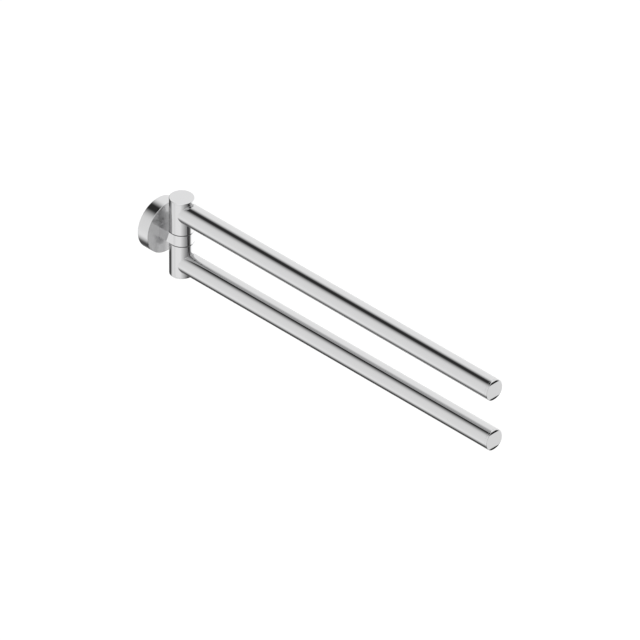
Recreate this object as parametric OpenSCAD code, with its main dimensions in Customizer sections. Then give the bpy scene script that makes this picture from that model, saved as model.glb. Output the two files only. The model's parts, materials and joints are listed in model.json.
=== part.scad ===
// Swing arm towel bar: a round wall rosette carries a short column, and two
// bars turn about that column, one above the other.
// The wall is the plane y = 0, the object stands out towards -Y, and +Z is up.
// The origin is the centre of the rosette's back face.

/* [Towel bars] */
// Outer diameter of each bar tube
bar_d = 22.4; // [16:0.2:24]
// Wall thickness of each bar tube
bar_wall = 1.2; // [0.8:0.1:2]
// Distance from the pivot axis to the free end of each bar
bar_reach = 429; // [250:1:600]
// Distance from each bar's axis to the nearer end of the column
bar_inset = 15; // [13.2:0.1:17]
// Thickness of the visible part of a bar's end cap
end_cap_h = 2.6; // [2:0.1:4]
// Depth of an end cap's spigot in its tube
end_cap_spigot_h = 8; // [4:0.5:20]

/* [Column] */
// Outer diameter of the column: both knuckles and the collar's eye
column_d = 25; // [25:0.5:34]
// Height of the column over both knuckles
column_h = 89; // [88:0.5:120]
// Height of the fixed collar between the two knuckles
collar_h = 12.5; // [10:0.5:14]
// Height of the gap between the collar and each knuckle
swing_gap = 0.6; // [0.4:0.1:1.2]
// Thickness of the visible part of a knuckle's cap
knuckle_cap_h = 1.6; // [1.2:0.1:3]
// Depth of a knuckle cap's spigot in its knuckle
knuckle_cap_spigot_h = 1.6; // [1:0.1:3]

/* [Pivot] */
// Diameter of the pivot pin in its bushes
pin_d = 10; // [8:0.5:11]
// Thread diameter at both ends of the pivot pin
pin_thread_d = 8; // [6:0.5:8]
// Wall thickness of each pivot bush
bush_wall = 2; // [1.5:0.25:2.5]
// Length of each pivot bush, as a share of the bore that both sit in
bush_length_share = 0.37; // [0.25:0.01:0.45]
// Bore of each knuckle around its nut and springs
nut_well_d = 19; // [18:0.5:21]
// Width of a pivot nut across its flats
nut_af = 13; // [11:0.5:13]
// Height of a pivot nut
nut_h = 6.5; // [5:0.5:8]
// Thickness of the plain washer under the disc springs
thrust_washer_h = 1.5; // [1:0.25:2]
// Sheet thickness of each disc spring
disc_spring_t = 0.9; // [0.7:0.05:1]
// Height of each disc spring's cone
disc_spring_rise = 0.5; // [0.3:0.05:0.7]

/* [Rosette] */
// Diameter of the rosette
rosette_d = 56; // [52:0.5:80]
// Height of the rosette off the wall
rosette_h = 13.6; // [12:0.1:20]
// Wall thickness of the rosette's rim
rosette_rim = 4; // [3:0.25:5]
// Thickness of the rosette's front
rosette_front = 4; // [3:0.25:5]
// Distance from the rosette's front face to the pivot axis
stem_reach = 19.2; // [17:0.1:40]

/* [Wall fixing] */
// Thickness of the wall plate behind its screw heads
plate_base_h = 4; // [3:0.25:4.5]
// Height of the wall plate's rim
plate_rim_h = 8; // [7.5:0.25:8]
// Thickness of the wall plate's rim
plate_rim = 4.9; // [4:0.1:5]
// Diameter of the wall screw holes
wall_hole_d = 5; // [4:0.1:5.5]
// Distance between the two wall screw holes
wall_hole_pitch = 28; // [24:0.5:28]

/* [Screws] */
// Thread diameter of the screws that hold the collar
collar_screw_d = 5; // [4:0.5:5]
// Distance between the two collar screws
collar_screw_pitch = 15; // [14:0.5:15]
// Thread length of the collar screws below the head
collar_screw_l = 12; // [11:0.5:14]
// Thread diameter of the set screw that locks the pivot pin
lock_screw_d = 5; // [4:0.5:5]
// Length of the set screw that locks the pivot pin
lock_screw_l = 10; // [6:0.5:12]
// Thread diameter of the set screw that holds the rosette
rosette_screw_d = 4; // [3:0.5:5]
// Length of the set screw that holds the rosette
rosette_screw_l = 5; // [5:0.25:6]

/* [Edges] */
// Rounding at the free end of each bar
bar_edge_r = 1.1; // [0.3:0.1:1.5]
// Chamfer of the column's outer ends
column_edge = 0.5; // [0.2:0.1:1]
// Chamfer on both sides of the swing gaps
gap_edge = 0.3; // [0.1:0.05:0.6]
// Chamfer round the rosette's front
rosette_edge = 0.5; // [0.2:0.1:1]

/* [Hidden] */
// Radial clearance of the pivot pin in its bushes
running_clear = 0.05;
// Radial clearance of pieces that are pressed, screwed or set into each other
seat_clear = 0.05;
// Radial clearance of loose pieces and of holes that a screw passes through
loose_clear = 0.3;
// How far a cut runs past the face that it opens
overrun = 1;
// Smoothness of the round surfaces
round_fn = 96;
screw_fn = 48;

// Heights along the column, measured from its middle
knuckle_z = collar_h / 2 + swing_gap;
knuckle_h = column_h / 2 - knuckle_z;
bar_z = column_h / 2 - bar_inset;

// The pivot axis stands in front of the wall
axis_y = -(rosette_h + stem_reach);

// The stack under each knuckle's cap, from the cap down to the well's floor
pin_end_clear = 0.6;
pin_proud = 1.2;
well_clear = 0.6;
disc_spring_d = nut_well_d - 2 * well_clear;
disc_spring_h = disc_spring_t + disc_spring_rise;
well_floor_z = column_h / 2 - knuckle_cap_h - knuckle_cap_spigot_h - pin_end_clear - pin_proud
    - nut_h - 2 * disc_spring_h - thrust_washer_h;
spring_z = well_floor_z + thrust_washer_h;
nut_z = spring_z + 2 * disc_spring_h;
pin_end_z = nut_z + nut_h + pin_proud;
pin_step_clear = 0.4;
pin_end_chamfer = 0.8;

// Bushes sit in one bore from the knuckle's inner face to the well's floor
bush_d = pin_d + 2 * running_clear + 2 * bush_wall;
bush_bore_d = bush_d + 2 * seat_clear;
bush_h = bush_length_share * (well_floor_z - knuckle_z);

// Friction washers fill the swing gaps, just inside the column's surface
friction_washer_inset = 0.8;
friction_washer_d = column_d - 2 * friction_washer_inset;

// Caps and their spigots
spigot_wall = 1.5;
end_cap_spigot_d = bar_d - 2 * bar_wall - 2 * seat_clear;
knuckle_cap_spigot_d = nut_well_d - 2 * seat_clear;

// The rosette is a cup that slides over the wall plate
cup_d = rosette_d - 2 * rosette_rim;
cup_depth = rosette_h - rosette_front;
plate_d = cup_d - 2 * seat_clear;
plate_recess_d = plate_d - 2 * plate_rim;

// Screws
socket_depth = 1.8;
socket_share = 0.5;
head_share = 1.7;
head_d = head_share * collar_screw_d;
head_h = 3.2;
head_edge = 0.4;
washer_h = 0.8;
washer_lip = 0.4;
washer_d = head_d + 2 * washer_lip;
screw_tip = 0.6;
screw_hole_extra = 1;
pin_flat_depth = 0.5;
rosette_screw_y = -(plate_base_h + plate_rim_h) / 2;
rosette_screw_sunk = 0.4;

// Puts what is drawn about the Z axis onto the pivot axis
module on_pivot() {
    translate([0, axis_y, 0]) children();
}

// Keeps the upper half's shape, or mirrors it to make the lower half's
module on_side(side) {
    mirror([0, 0, side == "lower" ? 1 : 0]) children();
}

// Turns +Z towards the room, so that heights become distances from the wall
module from_wall() {
    rotate([90, 0, 0]) children();
}

// A straight ring between two diameters
module ring(outer_d, inner_d, h) {
    difference() {
        cylinder(d = outer_d, h = h, $fn = round_fn);
        translate([0, 0, -overrun])
            cylinder(d = inner_d, h = h + 2 * overrun, $fn = round_fn);
    }
}

// A solid round bar with a chamfer at its bottom and another at its top
module chamfered_rod(d, h, bottom, top, fn = round_fn) {
    rotate_extrude($fn = fn)
        polygon([
            [0, 0], [d / 2 - bottom, 0], [d / 2, bottom],
            [d / 2, h - top], [d / 2 - top, h], [0, h]
        ]);
}

// A disc whose upper edge is rounded to a true quarter circle
module rounded_disc(d, h, r) {
    rotate_extrude($fn = round_fn) {
        square([d / 2 - r, h]);
        square([d / 2, h - r]);
        translate([d / 2 - r, h - r])
            intersection() {
                circle(r = r, $fn = screw_fn);
                square([r, r]);
            }
    }
}

// A hexagon socket, cut downwards from the plane z = 0
module hex_socket(screw_d) {
    translate([0, 0, -socket_depth])
        cylinder(d = 2 * socket_share * screw_d / sqrt(3), h = socket_depth + overrun, $fn = 6);
}

// A set screw that stands on z = 0, with its socket at the top
module set_screw(d, l) {
    difference() {
        chamfered_rod(d, l, screw_tip, screw_tip / 2, screw_fn);
        translate([0, 0, l]) hex_socket(d);
    }
}

// A low socket head screw with its head's underside on z = 0
module head_screw(d, l) {
    difference() {
        union() {
            translate([0, 0, -l]) chamfered_rod(d, l + head_h / 2, screw_tip, 0, screw_fn);
            chamfered_rod(head_d, head_h, 0, head_edge, screw_fn);
        }
        translate([0, 0, head_h]) hex_socket(d);
    }
}

// Wall side: plate, rosette and the screw that holds them together

module wall_plate() {
    color("silver")
        difference() {
            from_wall()
                difference() {
                    cylinder(d = plate_d, h = plate_rim_h, $fn = round_fn);
                    translate([0, 0, plate_base_h])
                        cylinder(d = plate_recess_d, h = plate_rim_h, $fn = round_fn);
                    for (side = [-1, 1])
                        translate([0, side * wall_hole_pitch / 2, -overrun])
                            cylinder(d = wall_hole_d, h = plate_base_h + 2 * overrun, $fn = screw_fn);
                }
            rosette_screw_hole();
        }
}

// The set screw's hole, from below the rosette up to the screw's tip
module rosette_screw_hole() {
    translate([0, rosette_screw_y, -rosette_d / 2 - overrun])
        cylinder(
            d = rosette_screw_d + 2 * seat_clear,
            h = overrun + rosette_screw_sunk + rosette_screw_l,
            $fn = screw_fn
        );
}

module rosette_set_screw() {
    color("dimgray")
        translate([0, rosette_screw_y, -rosette_d / 2 + rosette_screw_sunk + rosette_screw_l])
            rotate([180, 0, 0]) set_screw(rosette_screw_d, rosette_screw_l);
}

module rosette() {
    color("silver")
        difference() {
            from_wall()
                difference() {
                    chamfered_rod(rosette_d, rosette_h, 0, rosette_edge);
                    translate([0, 0, -overrun])
                        cylinder(d = cup_d, h = cup_depth + overrun, $fn = round_fn);
                    for (side = [-1, 1])
                        translate([side * collar_screw_pitch / 2, 0, 0])
                            cylinder(
                                d = collar_screw_d + 2 * loose_clear,
                                h = rosette_h + overrun,
                                $fn = screw_fn
                            );
                }
            rosette_screw_hole();
        }
}

// Collar: a flat-sided stem off the rosette and a round eye round the pin

module collar_block() {
    edge = gap_edge;
    half_w = column_d / 2;
    half_h = collar_h / 2;
    translate([0, -rosette_h, 0])
        from_wall()
            linear_extrude(height = stem_reach)
                polygon([
                    [-half_w + edge, -half_h], [half_w - edge, -half_h],
                    [half_w, -half_h + edge], [half_w, half_h - edge],
                    [half_w - edge, half_h], [-half_w + edge, half_h],
                    [-half_w, half_h - edge], [-half_w, -half_h + edge]
                ]);
    on_pivot()
        translate([0, 0, -half_h]) chamfered_rod(column_d, collar_h, edge, edge);
}

module collar() {
    screw_hole_l = collar_screw_l - rosette_front - washer_h + screw_hole_extra;
    color("silver")
        difference() {
            collar_block();
            on_pivot()
                translate([0, 0, -collar_h / 2 - overrun])
                    cylinder(
                        d = pin_d + 2 * seat_clear,
                        h = collar_h + 2 * overrun,
                        $fn = round_fn
                    );
            translate([0, -rosette_h + overrun, 0])
                from_wall() {
                    cylinder(
                        d = lock_screw_d + 2 * seat_clear,
                        h = stem_reach + overrun,
                        $fn = screw_fn
                    );
                    for (side = [-1, 1])
                        translate([side * collar_screw_pitch / 2, 0, 0])
                            cylinder(
                                d = collar_screw_d + 2 * seat_clear,
                                h = screw_hole_l + overrun,
                                $fn = screw_fn
                            );
                }
        }
}

module collar_screws() {
    color("dimgray")
        for (side = [-1, 1])
            translate([side * collar_screw_pitch / 2, -(cup_depth - washer_h), 0])
                rotate([-90, 0, 0]) head_screw(collar_screw_d, collar_screw_l);
}

module collar_screw_washers() {
    color("gainsboro")
        for (side = [-1, 1])
            translate([side * collar_screw_pitch / 2, -(cup_depth - washer_h), 0])
                from_wall() ring(washer_d, collar_screw_d + 2 * loose_clear, washer_h);
}

// Pivot: one pin through the collar, a nut and two springs in each knuckle

module pivot_pin() {
    step_z = well_floor_z - pin_step_clear;
    color("gainsboro")
        on_pivot()
            difference() {
                union() {
                    translate([0, 0, -pin_end_z])
                        chamfered_rod(
                            pin_thread_d, 2 * pin_end_z, pin_end_chamfer, pin_end_chamfer
                        );
                    translate([0, 0, -step_z])
                        chamfered_rod(pin_d, 2 * step_z, gap_edge, gap_edge);
                }
                translate([-pin_d / 2, pin_d / 2 - pin_flat_depth, -lock_screw_d / 2])
                    cube([pin_d, pin_d, lock_screw_d]);
            }
}

module pin_lock_screw() {
    color("dimgray")
        translate([0, axis_y + pin_d / 2 - pin_flat_depth, 0])
            rotate([-90, 0, 0]) set_screw(lock_screw_d, lock_screw_l);
}

module friction_washer(side) {
    color("darkslategray")
        on_pivot() on_side(side)
            translate([0, 0, collar_h / 2])
                ring(friction_washer_d, pin_d + 2 * loose_clear, swing_gap);
}

module thrust_washer(side) {
    color("gainsboro")
        on_pivot() on_side(side)
            translate([0, 0, well_floor_z])
                ring(disc_spring_d, pin_thread_d + 2 * loose_clear, thrust_washer_h);
}

// Two cones, rim to rim, that press the knuckle against its friction washer
module disc_springs(side) {
    bore_r = pin_thread_d / 2 + loose_clear;
    rim_r = disc_spring_d / 2;
    color("slategray")
        on_pivot() on_side(side)
            for (flip = [0, 1])
                translate([0, 0, spring_z + disc_spring_h])
                    mirror([0, 0, flip])
                        rotate_extrude($fn = round_fn)
                            polygon([
                                [rim_r, 0], [rim_r, disc_spring_t],
                                [bore_r, disc_spring_h], [bore_r, disc_spring_rise]
                            ]);
}

module pivot_nut(side) {
    color("gainsboro")
        on_pivot() on_side(side)
            translate([0, 0, nut_z])
                difference() {
                    cylinder(d = 2 * nut_af / sqrt(3), h = nut_h, $fn = 6);
                    translate([0, 0, -overrun])
                        cylinder(
                            d = pin_thread_d + 2 * seat_clear,
                            h = nut_h + 2 * overrun,
                            $fn = round_fn
                        );
                }
}

// Arms: a knuckle on two bushes, its cap, the bar and the bar's end cap

module knuckle(side) {
    color("silver")
        on_pivot() on_side(side)
            difference() {
                translate([0, 0, knuckle_z])
                    chamfered_rod(column_d, knuckle_h - knuckle_cap_h, gap_edge, 0);
                cylinder(d = bush_bore_d, h = column_h / 2, $fn = round_fn);
                translate([0, 0, well_floor_z])
                    cylinder(d = nut_well_d, h = knuckle_h, $fn = round_fn);
            }
}

module bush(side, bottom) {
    color("darkgoldenrod")
        on_pivot() on_side(side)
            translate([0, 0, bottom])
                ring(bush_d, pin_d + 2 * running_clear, bush_h);
}

module knuckle_cap(side) {
    spigot_h = knuckle_cap_spigot_h;
    color("silver")
        on_pivot() on_side(side)
            translate([0, 0, column_h / 2 - knuckle_cap_h]) {
                chamfered_rod(column_d, knuckle_cap_h, 0, column_edge);
                translate([0, 0, -spigot_h])
                    ring(knuckle_cap_spigot_d, knuckle_cap_spigot_d - 2 * spigot_wall, spigot_h);
            }
}

// The bar's inner end is cut to the round of the knuckle that it is welded to
module bar(side) {
    bar_l = bar_reach - end_cap_h;
    color("silver")
        on_pivot() on_side(side)
            difference() {
                translate([0, 0, bar_z])
                    from_wall() ring(bar_d, bar_d - 2 * bar_wall, bar_l);
                translate([0, 0, bar_z - bar_d])
                    cylinder(d = column_d, h = 2 * bar_d, $fn = round_fn);
                translate([-bar_d, 0, bar_z - bar_d])
                    cube([2 * bar_d, bar_d, 2 * bar_d]);
            }
}

module end_cap(side) {
    spigot_h = end_cap_spigot_h;
    color("silver")
        on_pivot() on_side(side)
            translate([0, 0, bar_z])
                from_wall()
                    translate([0, 0, bar_reach - end_cap_h]) {
                        rounded_disc(bar_d, end_cap_h, bar_edge_r);
                        translate([0, 0, -spigot_h])
                            ring(end_cap_spigot_d, end_cap_spigot_d - 2 * spigot_wall, spigot_h);
                    }
}

wall_plate();
rosette();
rosette_set_screw();
collar();
collar_screws();
collar_screw_washers();
pivot_pin();
pin_lock_screw();
for (side = ["upper", "lower"]) {
    friction_washer(side);
    thrust_washer(side);
    disc_springs(side);
    pivot_nut(side);
    knuckle(side);
    bush(side, knuckle_z);
    bush(side, well_floor_z - bush_h);
    knuckle_cap(side);
    bar(side);
    end_cap(side);
}
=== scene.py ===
"""Looks of the swing arm towel bar: polished steel on a pale studio floor.

All lengths are in metres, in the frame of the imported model: the wall is the plane y = 0, the bars
reach out along -Y, and +Z is up.
"""
import json
import math

import bpy
from mathutils import Matrix, Vector


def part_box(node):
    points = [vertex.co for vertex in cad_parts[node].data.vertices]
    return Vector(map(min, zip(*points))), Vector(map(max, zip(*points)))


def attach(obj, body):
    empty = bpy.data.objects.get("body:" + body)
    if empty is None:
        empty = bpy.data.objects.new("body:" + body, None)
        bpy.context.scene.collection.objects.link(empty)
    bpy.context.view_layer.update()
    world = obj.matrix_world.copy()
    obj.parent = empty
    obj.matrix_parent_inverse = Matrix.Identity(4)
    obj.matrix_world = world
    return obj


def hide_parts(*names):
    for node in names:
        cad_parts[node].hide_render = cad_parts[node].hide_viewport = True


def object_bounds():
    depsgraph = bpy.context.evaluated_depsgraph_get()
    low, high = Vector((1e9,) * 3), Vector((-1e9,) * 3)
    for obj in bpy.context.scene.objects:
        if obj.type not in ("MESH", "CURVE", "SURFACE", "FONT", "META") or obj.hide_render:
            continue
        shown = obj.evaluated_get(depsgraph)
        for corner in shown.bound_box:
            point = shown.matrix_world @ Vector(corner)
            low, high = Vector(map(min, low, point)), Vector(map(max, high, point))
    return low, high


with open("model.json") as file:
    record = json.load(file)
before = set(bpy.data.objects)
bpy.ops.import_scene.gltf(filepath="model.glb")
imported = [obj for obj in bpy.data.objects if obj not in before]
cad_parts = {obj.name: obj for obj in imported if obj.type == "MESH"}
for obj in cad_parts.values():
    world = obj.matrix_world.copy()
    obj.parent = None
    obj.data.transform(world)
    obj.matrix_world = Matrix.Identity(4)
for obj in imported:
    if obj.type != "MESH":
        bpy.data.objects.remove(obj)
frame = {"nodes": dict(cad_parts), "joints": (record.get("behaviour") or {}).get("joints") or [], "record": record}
cad_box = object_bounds()

MM = 0.001

# Edges and seams that the photograph shows, too fine for the construction
COLUMN_EDGE = 0.5 * MM
GAP_EDGE = 0.3 * MM
SEAM_EDGE = 0.12 * MM
BAR_EDGE = 1.1 * MM
ROSETTE_EDGE = 0.5 * MM
HIDDEN_EDGE = 0.2 * MM
WELD_RADIUS = 0.3 * MM

# The gaps above and below the collar: how much wider they are than in the construction on each
# side, what their dark washers leave free of that, and how far these stay behind the column's side
GAP_WIDENING = 0.12 * MM
GAP_PLAY = 0.02 * MM
WASHER_INSET = 0.2 * MM

# Inside the column, the rosette and the bars, where nothing shows: the play of a fit, that round a
# thrust washer, the wall of a hollow spigot, and how near its end a point has to be to be its rim
FIT_PLAY = 0.05 * MM
WELL_PLAY = 0.6 * MM
SPIGOT_WALL = 1.5 * MM
SPIGOT_RIM = 0.1 * MM

# A bar's end: how near its corner a point has to be to belong to its edge, what share of the
# rounding is left on the left side, and from how far left of the middle, and over which width, the
# full rounding comes back, in shares of the bar's radius
EDGE_REACH = 1.01 * BAR_EDGE
LEFT_EDGE_SHARE = 0.28
LEFT_EDGE_END = 0.2
LEFT_EDGE_FADE = 0.9

# Where the face of a bar's end leans back: over which height, round which radius, and how much of
# that round's fall the surface follows, while its shading follows it all
TOP_EASE = (3.0 * MM, 3.2 * MM, 1.0)
BOTTOM_EASE = (3.7 * MM, 5.9 * MM, 0.5)

# How finely the round surfaces are divided
ROUND_STEPS = 160
EDGE_STEPS = 6
WELD_STEPS = 8
STEM_STEPS = 12
EASE_STEPS = 12
TURNS = [2 * math.pi * k / ROUND_STEPS for k in range(ROUND_STEPS)]

# Below these, a radius is a point and two directions are the same
POINT_RADIUS = 1e-9
SAME_DIRECTION = 1e-6

# Camera: the photograph is an isometric view, here through a very long lens. Its scale holds a
# little way in front of the point that the camera aims at.
PIXELS_PER_MM = 1.03
PHOTO_PIXELS = 640
CAMERA_AZIMUTH = math.radians(-45.03)
CAMERA_ELEVATION = math.radians(35.262)
CAMERA_ROLL = math.radians(0.035)
AIM_RIGHT = 134.72 * MM
AIM_DOWN = 83.18 * MM
SCALE_AHEAD = 0.11
SENSOR = 36.0
LENS = 1650.0
CLIP_START = 0.5
CLIP_BEYOND = 20.0

# Floor and lamp
FLOOR_DROP = 0.35
FLOOR_RADIUS = 6.0
FLOOR_STEPS = 64
FLOOR_COLOURS = ((0.97, 0.97, 0.97), (0.99, 0.99, 0.99))
FLOOR_ROUGHNESS = 0.9
FLOOR_GRAIN = 400
LAMP_SIZE = 2.5
LAMP_WATTS = 12.0
LAMP_PLACE = (-1.2, -0.8, 2.4)
LAMP_AIM = (0, -0.2, 0)


class Axis:
    """A line that a piece is turned about: heights run along it, turns go round it."""

    def __init__(self, origin, along, side):
        self.origin = Vector(origin)
        self.along = Vector(along).normalized()
        self.side = Vector(side).normalized()
        self.across = self.along.cross(self.side)

    def radial(self, turn):
        return self.side * math.cos(turn) + self.across * math.sin(turn)

    def point(self, turn, radius, height):
        return self.origin + self.along * height + self.radial(turn) * radius

    def normal(self, turn, outward, upward):
        return (self.radial(turn) * outward + self.along * upward).normalized()


class Skin:
    """A closed mesh in the making, with the exact normal of every face corner."""

    def __init__(self):
        self.points = []
        self.faces = []
        self.normals = []

    def add_points(self, points):
        first = len(self.points)
        self.points.extend(points)
        return list(range(first, len(self.points)))

    def add_face(self, corners, normals):
        """Adds a face, turned so that it looks the way its normals do."""
        a, b, c = (self.points[i] for i in corners[:3])
        facing = (b - a).cross(c - a)
        if len(corners) > 3:
            facing += (c - a).cross(self.points[corners[3]] - a)
        if facing.dot(sum(normals, Vector())) < 0:
            corners, normals = corners[::-1], normals[::-1]
        self.faces.append(tuple(corners))
        self.normals.extend(normals)

    def add_band(self, ring_a, ring_b, normals_a, normals_b, closed=True):
        """Joins two rings of as many points with a band of four-sided faces."""
        count = len(ring_a)
        for i in range(count if closed else count - 1):
            j = (i + 1) % count
            self.add_face(
                [ring_a[i], ring_a[j], ring_b[j], ring_b[i]],
                [normals_a[i], normals_a[j], normals_b[j], normals_b[i]],
            )

    def add_fan(self, pole, ring, normal):
        """Closes a flat disc with triangles from its middle point."""
        count = len(ring)
        for i in range(count):
            self.add_face([pole, ring[i], ring[(i + 1) % count]], [normal] * 3)

    def make(self, name, material, body, node, slot="polished_steel"):
        """Makes the object, which rides on a body in place of a CAD node."""
        mesh = bpy.data.meshes.new(name)
        mesh.from_pydata(self.points, [], self.faces)
        mesh.polygons.foreach_set("use_smooth", [True] * len(self.faces))
        mesh.normals_split_custom_set(self.normals)
        mesh.materials.append(material)
        piece = bpy.data.objects.new(name, mesh)
        bpy.context.scene.collection.objects.link(piece)
        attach(piece, body)
        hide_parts(node)
        return piece


# Turned pieces


def right_of(direction):
    """The outside of an outline that is followed with its material on the left."""
    return Vector((direction.y, -direction.x))


def rounded(previous, corner, following, rounding):
    """The arc that rounds a corner of an outline, as a list of (point, outward normal)."""
    before = (corner - previous).normalized()
    after = (following - corner).normalized()
    turn = math.atan2(before.x * after.y - before.y * after.x, before.dot(after))
    reach = rounding * math.tan(abs(turn) / 2)
    side = math.copysign(1, turn)
    start = corner - before * reach
    centre = start - right_of(before) * rounding * side
    arc = []
    for k in range(EDGE_STEPS + 1):
        angle = turn * k / EDGE_STEPS
        cos, sin = math.cos(angle), math.sin(angle)
        direction = Vector((before.x * cos - before.y * sin, before.x * sin + before.y * cos))
        normal = right_of(direction)
        arc.append((centre + normal * rounding * side, normal))
    return arc


def section(corners, closed):
    """Follows an outline whose corners are (radius, height, rounding).

    Returns its stretches, straight ones and arcs, each a list of (point, outward normal).
    """
    count = len(corners)
    places = [Vector(corner[:2]) for corner in corners]
    arcs = []
    for i in range(count):
        rounding = corners[i][2]
        is_end = not closed and i in (0, count - 1)
        if is_end or rounding == 0:
            arcs.append([(places[i], None)])
        else:
            arcs.append(rounded(places[i - 1], places[i], places[(i + 1) % count], rounding))
    stretches = []
    for i in range(count if closed else count - 1):
        here, there = arcs[i], arcs[(i + 1) % count]
        if len(here) > 1:
            stretches.append(here)
        start, end = here[-1][0], there[0][0]
        normal = right_of((end - start).normalized())
        stretches.append([(start, normal), (end, normal)])
    return stretches


def turned(name, axis, corners, material, body, node, closed=True, after=None, **slot):
    """A turned piece: an outline of (radius, height, rounding) revolved about an axis.

    What turning alone can't give is left to a function that works on the skin after it.
    """
    skin = Skin()
    stretches = section(corners, closed)
    first_ring = last_ring = ring_at(skin, axis, stretches[0][0][0])
    for number, stretch in enumerate(stretches):
        last_normal = stretch[0][1]
        for k, (point, normal) in enumerate(stretch[1:], 1):
            is_last = number == len(stretches) - 1 and k == len(stretch) - 1
            ring = first_ring if closed and is_last else ring_at(skin, axis, point)
            join_rings(skin, axis, (last_ring, last_normal), (ring, normal))
            last_ring, last_normal = ring, normal
    if after:
        after(skin)
    return skin.make(name, material, body, node, **slot)


def ring_at(skin, axis, point):
    """A ring of points about an axis, or its one point where the radius is nothing."""
    if point.x < POINT_RADIUS:
        return skin.add_points([axis.point(0, 0, point.y)])
    return skin.add_points([axis.point(turn, point.x, point.y) for turn in TURNS])


def join_rings(skin, axis, first, second):
    """Joins two rings of a turned piece, either of which may be a single point."""
    (ring_a, normal_a), (ring_b, normal_b) = first, second
    if len(ring_a) == 1 or len(ring_b) == 1:
        pole, ring = (ring_a, ring_b) if len(ring_a) == 1 else (ring_b, ring_a)
        skin.add_fan(pole[0], ring, axis.normal(0, normal_a.x, normal_a.y))
        return
    skin.add_band(
        ring_a,
        ring_b,
        [axis.normal(turn, *normal_a) for turn in TURNS],
        [axis.normal(turn, *normal_b) for turn in TURNS],
    )


# Materials

# The middle of a noise's values, which is mapped onto the range that is asked for, and how many
# finer layers each kind of noise has
NOISE_MIDDLE = (0.3, 0.7)
CLOUD_DETAIL = 3
GRAIN_DETAIL = 2
SHEET_DETAIL = 3

# The rosette's front: the Y part of its normal at which a face starts to be front and is all front
FRONT_FACING = (-0.8, -0.98)
FRONT_ROUGHNESS = 0.2
FRONT_METALLIC = 0.78

# The slide washers' gloss at a glancing angle
GLANCE_BLEND = 0.5
GLANCE_RANGE = (0.42, 0.58)
GLANCE_COLOUR = (0.75, 0.75, 0.75, 1)
GLANCE_ROUGHNESS = 0.05


def node_material(name):
    """A new node material and its tree, with only the output and the main shader."""
    material = bpy.data.materials.new(name)
    material.use_nodes = True
    return material, material.node_tree, material.node_tree.nodes["Principled BSDF"]


def map_range(tree, value, source, target=(0.0, 1.0), kind="LINEAR"):
    """Maps a value from one range onto another, and holds it there outside."""
    node = tree.nodes.new("ShaderNodeMapRange")
    node.interpolation_type = kind
    node.inputs["From Min"].default_value, node.inputs["From Max"].default_value = source
    node.inputs["To Min"].default_value, node.inputs["To Max"].default_value = target
    tree.links.new(value, node.inputs["Value"])
    return node.outputs["Result"]


def add_noise(tree, scale, detail):
    """Noise over the object's own space, in features per metre."""
    place = tree.nodes.new("ShaderNodeTexCoord")
    noise = tree.nodes.new("ShaderNodeTexNoise")
    noise.inputs["Scale"].default_value = scale
    noise.inputs["Detail"].default_value = detail
    tree.links.new(place.outputs["Object"], noise.inputs["Vector"])
    return noise.outputs["Fac"]


def tint(tree, shader, noise, dark, light):
    """Colours the surface between two colours by a noise."""
    mix = tree.nodes.new("ShaderNodeMix")
    mix.data_type = "RGBA"
    mix.inputs["A"].default_value = (*dark, 1)
    mix.inputs["B"].default_value = (*light, 1)
    tree.links.new(noise, mix.inputs["Factor"])
    tree.links.new(mix.outputs["Result"], shader.inputs["Base Color"])


def work_surface(tree, shader, grain, roughness, depth):
    """Varies the gloss and raises the surface by a grain, to a real depth in metres."""
    gloss = map_range(tree, grain, NOISE_MIDDLE, roughness)
    tree.links.new(gloss, shader.inputs["Roughness"])
    bump = tree.nodes.new("ShaderNodeBump")
    bump.inputs["Distance"].default_value = depth
    bump.inputs["Strength"].default_value = 1.0
    tree.links.new(grain, bump.inputs["Height"])
    tree.links.new(bump.outputs["Normal"], shader.inputs["Normal"])


def metal(name, dark, light, roughness, cloud_scale, grain_scale, grain_depth):
    """A bare metal: slightly clouded in colour and gloss, with a fine worked grain."""
    material, tree, shader = node_material(name)
    shader.inputs["Metallic"].default_value = 1.0
    clouds = add_noise(tree, cloud_scale, CLOUD_DETAIL)
    grain = add_noise(tree, grain_scale, GRAIN_DETAIL)
    tint(tree, shader, clouds, dark, light)
    work_surface(tree, shader, grain, roughness, grain_depth)
    return material


def dull_front(material):
    """Makes the faces that look at the room duller and a little matt, and no others."""
    tree = material.node_tree
    shader = tree.nodes["Principled BSDF"]
    polish = shader.inputs["Roughness"].links[0].from_socket
    place = tree.nodes.new("ShaderNodeTexCoord")
    split = tree.nodes.new("ShaderNodeSeparateXYZ")
    tree.links.new(place.outputs["Normal"], split.inputs[0])
    front = map_range(tree, split.outputs["Y"], FRONT_FACING)
    matt = map_range(tree, split.outputs["Y"], FRONT_FACING, (1.0, FRONT_METALLIC))
    mix = tree.nodes.new("ShaderNodeMix")
    mix.data_type = "FLOAT"
    mix.inputs["B"].default_value = FRONT_ROUGHNESS
    tree.links.new(matt, shader.inputs["Metallic"])
    tree.links.new(front, mix.inputs["Factor"])
    tree.links.new(polish, mix.inputs["A"])
    tree.links.new(mix.outputs["Result"], shader.inputs["Roughness"])


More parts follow.
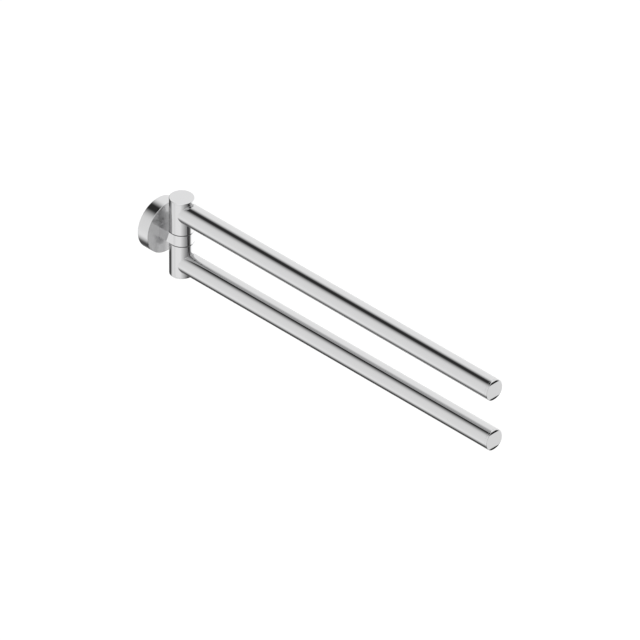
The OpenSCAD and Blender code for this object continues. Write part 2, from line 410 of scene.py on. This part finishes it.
def plastic(name, dark, light, roughness, grain_scale, grain_depth):
    """A slide washer with the fine texture of a cut sheet, dark in front and glossy at a glance."""
    material, tree, shader = node_material(name)
    grain = add_noise(tree, grain_scale, SHEET_DETAIL)
    tint(tree, shader, grain, dark, light)
    work_surface(tree, shader, grain, roughness, grain_depth)
    facing = tree.nodes.new("ShaderNodeLayerWeight")
    facing.inputs["Blend"].default_value = GLANCE_BLEND
    glance = map_range(tree, facing.outputs["Facing"], GLANCE_RANGE)
    gloss = tree.nodes.new("ShaderNodeBsdfGlossy")
    gloss.inputs["Color"].default_value = GLANCE_COLOUR
    gloss.inputs["Roughness"].default_value = GLANCE_ROUGHNESS
    mixed = tree.nodes.new("ShaderNodeMixShader")
    tree.links.new(glance, mixed.inputs[0])
    tree.links.new(shader.outputs[0], mixed.inputs[1])
    tree.links.new(gloss.outputs[0], mixed.inputs[2])
    tree.links.new(mixed.outputs[0], tree.nodes["Material Output"].inputs["Surface"])
    return material


# What each material is made from: its dark and light colours, its range of roughness, the scales
# of its clouds (metals only) and of its grain, in features per metre, and the depth of the grain
POLISH = ((0.735, 0.735, 0.74), (0.765, 0.765, 0.77), (0.02, 0.035), 60, 900, 0.0001 * MM)
TURNED = ((0.5, 0.5, 0.51), (0.6, 0.6, 0.61), (0.24, 0.4), 120, 1800, 0.004 * MM)
HARDENED = ((0.09, 0.09, 0.1), (0.16, 0.16, 0.17), (0.3, 0.5), 300, 2500, 0.004 * MM)
BLUED = ((0.22, 0.22, 0.26), (0.34, 0.34, 0.38), (0.25, 0.4), 250, 2200, 0.003 * MM)
BRONZE = ((0.45, 0.27, 0.11), (0.6, 0.4, 0.19), (0.35, 0.55), 350, 3000, 0.01 * MM)
ACETAL = ((0.012, 0.012, 0.013), (0.03, 0.03, 0.032), (0.22, 0.36), 2500, 0.01 * MM)

polished = metal("polished_steel", *POLISH)
rosette_steel = metal("rosette_steel", *POLISH)
dull_front(rosette_steel)
acetal = plastic("dark_acetal", *ACETAL)

SLOT_MATERIALS = {
    "polished_steel": polished,
    "bare_steel": metal("turned_steel", *TURNED),
    "screw_steel": metal("dark_screw_steel", *HARDENED),
    "spring_steel": metal("spring_steel", *BLUED),
    "bush_bronze": metal("bush_bronze", *BRONZE),
    "dark_acetal": acetal,
}


def dress_cad_nodes():
    """Gives every CAD node the material of its slot in the record."""
    for part in frame["record"]["subparts"]:
        node = frame["nodes"][part["node"]]
        for slot in node.material_slots:
            slot.material = SLOT_MATERIALS[part["material_slot"]]


# Sizes, all read from the frame


def half_width(node):
    low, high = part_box(node)
    return (high.x - low.x) / 2


def heights(node):
    """How far a node of the column starts and ends from the plane between the two arms."""
    low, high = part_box(node)
    return sorted((abs(low.z), abs(high.z)))


def spigot_radius(side):
    """The radius of an end cap's spigot, which is the bore of its bar's tube."""
    vertices = frame["nodes"][f"{side}_end_cap"].data.vertices
    back = max(vertex.co.y for vertex in vertices)
    return max(vertex.co.x for vertex in vertices if vertex.co.y > back - SPIGOT_RIM)


pivot = Vector(frame["joints"][0]["pos_m"])
column_r = half_width("upper_knuckle")
bar_r = half_width("upper_bar")
bore_r = half_width("upper_inner_bush")
pin_r = half_width("pivot_pin")


# Wall side


def make_rosette():
    """The cup on the wall: a thick front, a rim and a hollow back."""
    low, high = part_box("rosette")
    radius = high.z
    depth = high.y - low.y
    cavity_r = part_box("wall_plate")[1].z + FIT_PLAY
    cavity_depth = high.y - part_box("collar_screw_washers")[0].y
    turned(
        "rosette_shell",
        Axis((0, high.y, 0), (0, -1, 0), (1, 0, 0)),
        [
            (0, cavity_depth, 0),
            (cavity_r, cavity_depth, HIDDEN_EDGE),
            (cavity_r, 0, HIDDEN_EDGE),
            (radius, 0, HIDDEN_EDGE),
            (radius, depth, ROSETTE_EDGE),
            (0, depth, 0),
        ],
        rosette_steel,
        "bracket",
        "rosette",
        closed=False,
    )


def make_collar():
    """The eye round the pin and its flat-sided stem, in one, with rounded long edges."""
    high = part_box("collar")[1]
    rear = high.y - pivot.y
    half_h = high.z - GAP_WIDENING
    skin = Skin()

    def outline(radius):
        """Points round the collar at a given half width, with where each one faces."""
        places = [
            (Vector((-radius, rear * (1 - k / STEM_STEPS), 0)), Vector((-1, 0, 0)))
            for k in range(STEM_STEPS)
        ]
        half_turn = ROUND_STEPS // 2
        for k in range(half_turn + 1):
            turn = math.pi + math.pi * k / half_turn
            facing = Vector((math.cos(turn), math.sin(turn), 0))
            places.append((facing * radius, facing))
        places += [
            (Vector((radius, rear * k / STEM_STEPS, 0)), Vector((1, 0, 0)))
            for k in range(1, STEM_STEPS + 1)
        ]
        return places

    def rear_points(radius):
        return [Vector((radius * (1 - 2 * k / STEM_STEPS), rear, 0)) for k in range(1, STEM_STEPS)]

    # The rounded edges, from the lower face to the upper one
    rows = []
    for up, first_angle in ((-1, -math.pi / 2), (1, 0)):
        for k in range(EDGE_STEPS + 1):
            angle = first_angle + math.pi / 2 * k / EDGE_STEPS
            radius = column_r - GAP_EDGE * (1 - math.cos(angle))
            height = up * (half_h - GAP_EDGE * (1 - up * math.sin(angle)))
            base = Vector((0, pivot.y, height))
            lean = Vector((0, 0, math.sin(angle)))
            places = outline(radius)
            side = skin.add_points([base + place for place, _ in places])
            back = skin.add_points([base + place for place in rear_points(radius)])
            normals = [facing * math.cos(angle) + lean for _, facing in places]
            rows.append((side, back, normals))
    for (side_a, back_a, normals_a), (side_b, back_b, normals_b) in zip(rows, rows[1:]):
        skin.add_band(side_a, side_b, normals_a, normals_b, closed=False)
        rear_a = [side_a[-1], *back_a, side_a[0]]
        rear_b = [side_b[-1], *back_b, side_b[0]]
        facing = [Vector((0, 1, 0))] * len(rear_a)
        skin.add_band(rear_a, rear_b, facing, facing, closed=False)

    # Flat faces below and above, in to the pin's bore, and the bore itself
    bore_rings = []
    for (side, back, _), up in ((rows[0], -1), (rows[-1], 1)):
        centre = Vector((0, pivot.y, up * half_h))
        outer = [*side, *back]
        rim = [centre + (skin.points[i] - centre).normalized() * pin_r for i in outer]
        ring = skin.add_points(rim)
        flat = [Vector((0, 0, up))] * len(ring)
        skin.add_band(outer, ring, flat, flat)
        bore_rings.append(ring)
        inward = [(centre - skin.points[i]).normalized() for i in ring]
    skin.add_band(*bore_rings, inward, inward)
    skin.make("collar_body", polished, "bracket", "collar")


def make_friction_washer(side, up):
    """The dark slide washer that fills a gap of the column, nearly out to its side."""
    bottom, top = heights(f"{side}_friction_washer")
    bottom -= GAP_WIDENING - GAP_PLAY
    top += GAP_WIDENING - GAP_PLAY
    rim = column_r - WASHER_INSET
    turned(
        f"{side}_friction_washer_ring",
        Axis(pivot, (0, 0, up), (1, 0, 0)),
        [(pin_r, bottom, 0), (rim, bottom, SEAM_EDGE), (rim, top, SEAM_EDGE), (pin_r, top, 0)],
        acetal,
        "bracket",
        f"{side}_friction_washer",
        slot="dark_acetal",
    )


# Arms


def make_knuckle(side, up):
    """The turning half of the column, hollow for the pin, its bushes and its nut, and its cap."""
    axis = Axis(pivot, (0, 0, up), (1, 0, 0))
    bottom, top = heights(f"{side}_knuckle")
    bottom += GAP_WIDENING
    well_r = half_width(f"{side}_thrust_washer") + WELL_PLAY
    well_floor = heights(f"{side}_thrust_washer")[0]
    turned(
        f"{side}_knuckle_body",
        axis,
        [
            (bore_r, bottom, HIDDEN_EDGE),
            (column_r, bottom, GAP_EDGE),
            (column_r, top, SEAM_EDGE),
            (well_r, top, HIDDEN_EDGE),
            (well_r, well_floor, 0),
            (bore_r, well_floor, HIDDEN_EDGE),
        ],
        polished,
        f"{side}_arm",
        f"{side}_knuckle",
    )
    spigot_end, end = heights(f"{side}_knuckle_cap")
    spigot_r = well_r - FIT_PLAY
    turned(
        f"{side}_knuckle_cap_body",
        axis,
        [
            (0, top, 0),
            (spigot_r - SPIGOT_WALL, top, 0),
            (spigot_r - SPIGOT_WALL, spigot_end, HIDDEN_EDGE),
            (spigot_r, spigot_end, HIDDEN_EDGE),
            (spigot_r, top, 0),
            (column_r, top, SEAM_EDGE),
            (column_r, end, COLUMN_EDGE),
            (0, end, 0),
        ],
        polished,
        f"{side}_arm",
        f"{side}_knuckle_cap",
        closed=False,
    )


def between(first, second, share):
    """The direction at a share of the angle from one direction to another."""
    angle = first.angle(second)
    if angle < SAME_DIRECTION:
        return first
    parts = first * math.sin((1 - share) * angle) + second * math.sin(share * angle)
    return parts / math.sin(angle)


def make_bar(side):
    """The bar's tube, cut to the round of its knuckle and blended into it by a weld."""
    low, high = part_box(f"{side}_bar")
    seam_y = low.y
    middle = (low.z + high.z) / 2
    inner_r = spigot_radius(side)
    outward = [Vector((math.cos(turn), 0, math.sin(turn))) for turn in TURNS]
    inward = [-facing for facing in outward]
    ahead = Vector((0, -1, 0))
    skin = Skin()

    def saddle(turn, radius, reach):
        """Where a line along the bar at that turn meets a column of that radius."""
        x, z = radius * math.cos(turn), radius * math.sin(turn)
        return Vector((x, pivot.y - math.sqrt(reach * reach - x * x), middle + z))

    def straight_ring(radius, y):
        return skin.add_points([Vector((radius * f.x, y, middle + radius * f.z)) for f in outward])

    # The weld, then the tube's side out to its edge at the end cap's seam
    rings = []
    for k in range(WELD_STEPS + 1):
        points, normals = [], []
        for turn, from_bar in zip(TURNS, outward):
            centre = saddle(turn, bar_r + WELD_RADIUS, column_r + WELD_RADIUS)
            from_axis = Vector((centre.x, centre.y - pivot.y, 0)).normalized()
            normal = between(from_axis, from_bar, k / WELD_STEPS)
            points.append(centre - normal * WELD_RADIUS)
            normals.append(normal)
        rings.append((skin.add_points(points), normals))
    for k in range(EDGE_STEPS + 1):
        angle = math.pi / 2 * k / EDGE_STEPS
        radius = bar_r - SEAM_EDGE * (1 - math.cos(angle))
        y = seam_y + SEAM_EDGE * (1 - math.sin(angle))
        normals = [f * math.cos(angle) + ahead * math.sin(angle) for f in outward]
        rings.append((straight_ring(radius, y), normals))
    for (ring_a, normals_a), (ring_b, normals_b) in zip(rings, rings[1:]):
        skin.add_band(ring_a, ring_b, normals_a, normals_b)

    # The tube's end, its inside, and the end that lies on the knuckle
    inner_end = straight_ring(inner_r, seam_y)
    flat = [ahead] * len(TURNS)
    skin.add_band(rings[-1][0], inner_end, flat, flat)
    inner_start = skin.add_points([saddle(turn, inner_r, column_r) for turn in TURNS])
    skin.add_band(inner_end, inner_start, inward, inward)
    behind = [
        Vector((-skin.points[i].x, pivot.y - skin.points[i].y, 0)).normalized()
        for i in inner_start
    ]
    skin.add_band(inner_start, rings[0][0], behind, [-normal for normal in rings[0][1]])
    skin.make(f"{side}_bar_tube", polished, f"{side}_arm", f"{side}_bar")


def make_end_cap(side):
    """The plug in a bar's free end: a flat face with a rounded edge, on a hollow spigot."""
    low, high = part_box(f"{side}_end_cap")
    seam = pivot.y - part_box(f"{side}_bar")[0].y
    reach = pivot.y - low.y
    spigot_start = pivot.y - high.y
    spigot_r = spigot_radius(side)
    middle = (low.z + high.z) / 2
    face_step = max(TOP_EASE[0], BOTTOM_EASE[0]) / EASE_STEPS
    face = [bar_r - BAR_EDGE - face_step * k for k in range(1, EASE_STEPS + 1)]
    turned(
        f"{side}_end_cap_body",
        Axis((0, pivot.y, middle), (0, -1, 0), (1, 0, 0)),
        [
            (0, seam, 0),
            (spigot_r - SPIGOT_WALL, seam, 0),
            (spigot_r - SPIGOT_WALL, spigot_start, HIDDEN_EDGE),
            (spigot_r, spigot_start, HIDDEN_EDGE),
            (spigot_r, seam, 0),
            (bar_r, seam, SEAM_EDGE),
            (bar_r, reach, BAR_EDGE),
            *[(radius, reach, 0) for radius in face],
            (0, reach, 0),
        ],
        polished,
        f"{side}_arm",
        f"{side}_end_cap",
        closed=False,
        after=lambda skin: finish_end(skin, low.y, middle),
    )


def finish_end(skin, face_y, middle):
    """Works on a bar's end after turning: its edge first and then its face."""
    sharpen_left(skin, face_y, middle)
    ease_face(skin, face_y, middle)


def sharpen_left(skin, face_y, middle):
    """Draws the round edge of a bar's end in towards its corner on the left side."""
    for index, point in enumerate(skin.points):
        radial = Vector((point.x, 0, point.z - middle))
        if point.y > face_y + EDGE_REACH or radial.length < bar_r - EDGE_REACH:
            continue
        corner = radial.normalized() * bar_r + Vector((0, face_y, middle))
        right = min(1, max(0, (point.x / bar_r + LEFT_EDGE_END) / LEFT_EDGE_FADE))
        right = right * right * (3 - 2 * right)
        share = LEFT_EDGE_SHARE + (1 - LEFT_EDGE_SHARE) * right
        skin.points[index] = corner + (point - corner) * share


def ease_face(skin, face_y, middle):
    """Lets a bar's end face fall away in a round near its top and its bottom."""

    def ease(point):
        """How far the face leans at a point, upwards or downwards, and how far it falls away."""
        rise = point.z - middle
        height, radius, fall_share = TOP_EASE if rise > 0 else BOTTOM_EASE
        past = abs(rise) - (bar_r - height)
        if past <= 0 or point.y > face_y + EDGE_REACH:
            return 0, 0
        angle = math.asin(past / radius)
        return math.copysign(angle, rise), radius * (1 - math.cos(angle)) * fall_share

    corners = [index for face in skin.faces for index in face]
    for number, index in enumerate(corners):
        normal = skin.normals[number]
        angle = ease(skin.points[index])[0]
        leaning = Vector((0, -math.cos(angle), math.sin(angle))) * -normal.y
        skin.normals[number] = (Vector((normal.x, 0, normal.z)) + leaning).normalized()
    skin.points = [point + Vector((0, ease(point)[1], 0)) for point in skin.points]


# Studio: world, floor, lamp and camera


class Flag:
    """An upright flag in the studio, full between two azimuths and fading before and after them.

    It takes a share of the light away, or adds one where the share is negative. Its angles are in
    degrees.
    """

    def __init__(self, start, end, fade_before, fade_after, share, kind="SMOOTHSTEP"):
        self.middle = (start + end) / 2
        self.half = (end - start) / 2
        self.fade_before = fade_before
        self.fade_after = fade_after
        self.share = share
        self.kind = kind


# Flags on the wall's side, on the room's side and near the ground
WALL_LOW = Flag(90, 103, 40, 36, 0.8)
WALL_HIGH = Flag(90, 112, 43, 36, 0.968)
WALL_RIGHT = Flag(45, 98, 8, 25, 0.45)
WALL_LEFT = Flag(148, 158, 12, 15, 0.1)
ROOM_LOW = Flag(284, 297, 72, 28, 0.93, "LINEAR")
ROOM_MIDDLE = Flag(264, 312, 40, 12, 0.985)
ROOM_HIGH = Flag(276, 297, 50, 18, 0.985)
ROOM_RIGHT = Flag(325, 375, 20, 30, -0.35)
GROUND_RIGHT = Flag(320, 398, 6, 6, 0.95)

# Heights in the studio, as the upward part of a direction, over which something sets in or ends
WALL_LOW_START = (-0.75, -0.6)
WALL_RIGHT_DARKER = (-0.8, -0.62)
WALL_MIDDLE = (-0.35, 0.35)
WALL_HIGH_END = (0.83, 0.97)
ROOM_LOW_END = (-0.55, -0.4)
ROOM_MIDDLE_END = (0.35, 0.55)
ROOM_HIGH_END = (0.75, 0.93)
GROUND_START = (-0.6, -0.88)
GROUND_RIGHT_START = (-0.6, -0.7)
GROUND_END = (-0.97, -0.86)
CEILING_START = (0.8, 0.95)
SOFT_LOW_END = (-0.5, -0.1)

# Other shares and levels of the studio
WALL_RIGHT_DARKER_SHARE = 0.5
GROUND_SHARE = 1.0
CEILING_SHARE = -0.2
STUDIO_LEVEL = 0.965

# Light that was mirrored several times is evened out: over which ray depths, towards which levels
# low down, low down on the right and higher up, by which shares, and again for one more mirroring
REPEATED_DEPTHS = (2, 3)
OFTEN_DEPTHS = (3, 4)
SOFT_LOW = 0.25
SOFT_LOW_RIGHT = 0.9
SOFT_HIGH = 0.1
SOFT_SHARE = 0.45
SOFT_RIGHT_SHARE = 0.8
OFTEN_SHARE = 0.4
OFTEN_LEVEL = 0.45


class WorldNodes:
    """Small sums on the direction that a reflected ray leaves in."""

    def __init__(self, tree):
        self.tree = tree

    def put(self, socket, value):
        if isinstance(value, (int, float)):
            socket.default_value = value
        else:
            self.tree.links.new(value, socket)

    def math(self, operation, *values):
        node = self.tree.nodes.new("ShaderNodeMath")
        node.operation = operation
        for socket, value in zip(node.inputs, values):
            self.put(socket, value)
        return node.outputs[0]

    def times(self, first, second):
        return self.math("MULTIPLY", first, second)

    def mix(self, share, first, second):
        node = self.tree.nodes.new("ShaderNodeMix")
        node.data_type = "FLOAT"
        self.put(node.inputs["Factor"], share)
        self.put(node.inputs["A"], first)
        self.put(node.inputs["B"], second)
        return node.outputs[0]

    def ramp(self, value, start, end, kind="SMOOTHSTEP"):
        """Rises from 0 at start to 1 at end, which may be the lower of the two."""
        target = (0.0, 1.0) if start < end else (1.0, 0.0)
        return map_range(self.tree, value, sorted((start, end)), target, kind)

    def flag(self, azimuth, flag):
        """Where a flag stands: 1 between its two azimuths, fading on both sides."""
        turned_by = self.math("WRAP", self.math("SUBTRACT", azimuth, flag.middle), 180.0, -180.0)
        before = self.ramp(turned_by, -flag.half - flag.fade_before, -flag.half, flag.kind)
        after = self.ramp(turned_by, flag.half + flag.fade_after, flag.half)
        return self.times(before, after)

    def dimmed(self, level, where, share):
        """A level that loses a share of its light somewhere."""
        return self.times(level, self.math("SUBTRACT", 1.0, self.times(where, share)))

    def behind(self, level, azimuth, flag):
        """A level that loses a flag's share of its light where the flag stands."""
        return self.dimmed(level, self.flag(azimuth, flag), flag.share)


def make_world():
    """White to the camera; to polished metal, a pale studio with dark upright flags."""
    world = bpy.data.worlds.new("studio")
    bpy.context.scene.world = world
    world.use_nodes = True
    tree = world.node_tree
    sums = WorldNodes(tree)
    place = tree.nodes.new("ShaderNodeTexCoord")
    split = tree.nodes.new("ShaderNodeSeparateXYZ")
    tree.links.new(place.outputs["Generated"], split.inputs[0])
    x, y, z = split.outputs
    azimuth = sums.math("DEGREES", sums.math("ARCTAN2", y, x))

    # The wall's side: one flag below the object, one above it, and lesser ones right and left
    right = sums.flag(azimuth, WALL_RIGHT)
    below = sums.behind(1.0, azimuth, WALL_LOW)
    below = sums.mix(sums.ramp(z, *WALL_LOW_START), 1.0, below)
    below = sums.dimmed(below, right, WALL_RIGHT.share)
    darker = sums.times(right, sums.ramp(z, *WALL_RIGHT_DARKER))
    below = sums.dimmed(below, darker, WALL_RIGHT_DARKER_SHARE)
    above = sums.behind(1.0, azimuth, WALL_HIGH)
    above = sums.mix(sums.ramp(z, *WALL_HIGH_END), above, 1.0)
    wall = sums.mix(sums.ramp(z, *WALL_MIDDLE), below, above)
    wall = sums.behind(wall, azimuth, WALL_LEFT)

    # The room's side: a dark front with a bright edge on its right
    below = sums.behind(1.0, azimuth, ROOM_LOW)
    below = sums.behind(below, azimuth, ROOM_RIGHT)
    middle = sums.behind(1.0, azimuth, ROOM_MIDDLE)
    above = sums.behind(1.0, azimuth, ROOM_HIGH)
    above = sums.mix(sums.ramp(z, *ROOM_HIGH_END), above, 1.0)
    room = sums.mix(sums.ramp(z, *ROOM_LOW_END), below, middle)
    room = sums.mix(sums.ramp(z, *ROOM_MIDDLE_END), room, above)
    level = sums.times(wall, room)

    # The ground darkens downwards, first on the right, and the ceiling is bright
    ground = sums.times(sums.ramp(z, *GROUND_START), sums.ramp(z, *GROUND_END))
    level = sums.dimmed(level, ground, GROUND_SHARE)
    ground = sums.times(sums.flag(azimuth, GROUND_RIGHT), sums.ramp(z, *GROUND_RIGHT_START))
    ground = sums.times(ground, sums.ramp(z, *GROUND_END))
    level = sums.dimmed(level, ground, GROUND_RIGHT.share)
    level = sums.dimmed(level, sums.ramp(z, *CEILING_START), CEILING_SHARE)
    level = sums.times(level, STUDIO_LEVEL)

    # Light that was mirrored several times is evened out
    rays = tree.nodes.new("ShaderNodeLightPath")
    repeated = sums.ramp(rays.outputs["Ray Depth"], *REPEATED_DEPTHS, "LINEAR")
    often = sums.ramp(rays.outputs["Ray Depth"], *OFTEN_DEPTHS, "LINEAR")
    low_right = sums.times(right, sums.ramp(z, *SOFT_LOW_END[::-1]))
    soft_low = sums.mix(right, SOFT_LOW, SOFT_LOW_RIGHT)
    softened = sums.mix(sums.ramp(z, *SOFT_LOW_END), soft_low, SOFT_HIGH)
    share = sums.times(repeated, sums.mix(low_right, SOFT_SHARE, SOFT_RIGHT_SHARE))
    level = sums.mix(share, level, softened)
    level = sums.mix(sums.times(often, OFTEN_SHARE), level, OFTEN_LEVEL)

    strength = sums.mix(rays.outputs["Is Glossy Ray"], 1.0, level)
    background = tree.nodes["Background"]
    background.inputs["Color"].default_value = (1, 1, 1, 1)
    tree.links.new(strength, background.inputs["Strength"])


def make_floor():
    """A plain pale floor well below the bars, which the metal's reflections pass by."""
    material, tree, shader = node_material("pale_floor")
    shader.inputs["Roughness"].default_value = FLOOR_ROUGHNESS
    shader.inputs["Specular IOR Level"].default_value = 0.0
    tint(tree, shader, add_noise(tree, FLOOR_GRAIN, GRAIN_DETAIL), *FLOOR_COLOURS)
    height = cad_box[0][2] - FLOOR_DROP
    turns = [2 * math.pi * k / FLOOR_STEPS for k in range(FLOOR_STEPS)]
    points = [
        Vector((math.cos(turn), math.sin(turn), 0)) * FLOOR_RADIUS + Vector((0, 0, height))
        for turn in turns
    ]
    mesh = bpy.data.meshes.new("floor")
    mesh.from_pydata(points, [], [tuple(range(FLOOR_STEPS))])
    mesh.materials.append(material)
    floor = bpy.data.objects.new("floor", mesh)
    floor.visible_glossy = False
    bpy.context.scene.collection.objects.link(floor)


def make_lamp():
    """One large soft lamp high on the left; the world does most of the lighting."""
    light = bpy.data.lights.new("soft_lamp", "AREA")
    light.shape = "DISK"
    light.size = LAMP_SIZE
    light.energy = LAMP_WATTS
    lamp = bpy.data.objects.new("soft_lamp", light)
    lamp.location = LAMP_PLACE
    aim = Vector(LAMP_AIM) - Vector(LAMP_PLACE)
    lamp.rotation_euler = aim.to_track_quat("-Z", "Y").to_euler()
    lamp.visible_glossy = False
    bpy.context.scene.collection.objects.link(lamp)


def make_camera():
    """An isometric view from the left, above and in front, out in the room."""
    level = Vector((math.cos(CAMERA_AZIMUTH), math.sin(CAMERA_AZIMUTH), 0))
    ahead = Vector((-level.y, level.x, 0))
    back = Vector((0, 0, math.sin(CAMERA_ELEVATION))) - ahead * math.cos(CAMERA_ELEVATION)
    upright = back.cross(level)
    right = level * math.cos(CAMERA_ROLL) + upright * math.sin(CAMERA_ROLL)
    up = upright * math.cos(CAMERA_ROLL) - level * math.sin(CAMERA_ROLL)
    target = pivot + right * AIM_RIGHT - up * AIM_DOWN
    frame_width = PHOTO_PIXELS / PIXELS_PER_MM * MM
    distance = frame_width * LENS / SENSOR + SCALE_AHEAD
    data = bpy.data.cameras.new("camera")
    data.type = "PERSP"
    data.sensor_width = SENSOR
    data.lens = LENS
    data.clip_start = CLIP_START
    data.clip_end = distance + CLIP_BEYOND
    camera = bpy.data.objects.new("camera", data)
    camera.location = target + back * distance
    camera.rotation_euler = Matrix((right, up, back)).transposed().to_euler()
    bpy.context.scene.collection.objects.link(camera)
    bpy.context.scene.camera = camera


make_camera()
make_world()
make_floor()
make_lamp()
dress_cad_nodes()
make_rosette()
make_collar()
for side, up in (("upper", 1), ("lower", -1)):
    make_friction_washer(side, up)
    make_knuckle(side, up)
    make_bar(side)
    make_end_cap(side)

bpy.context.scene.view_settings.view_transform = "Standard"
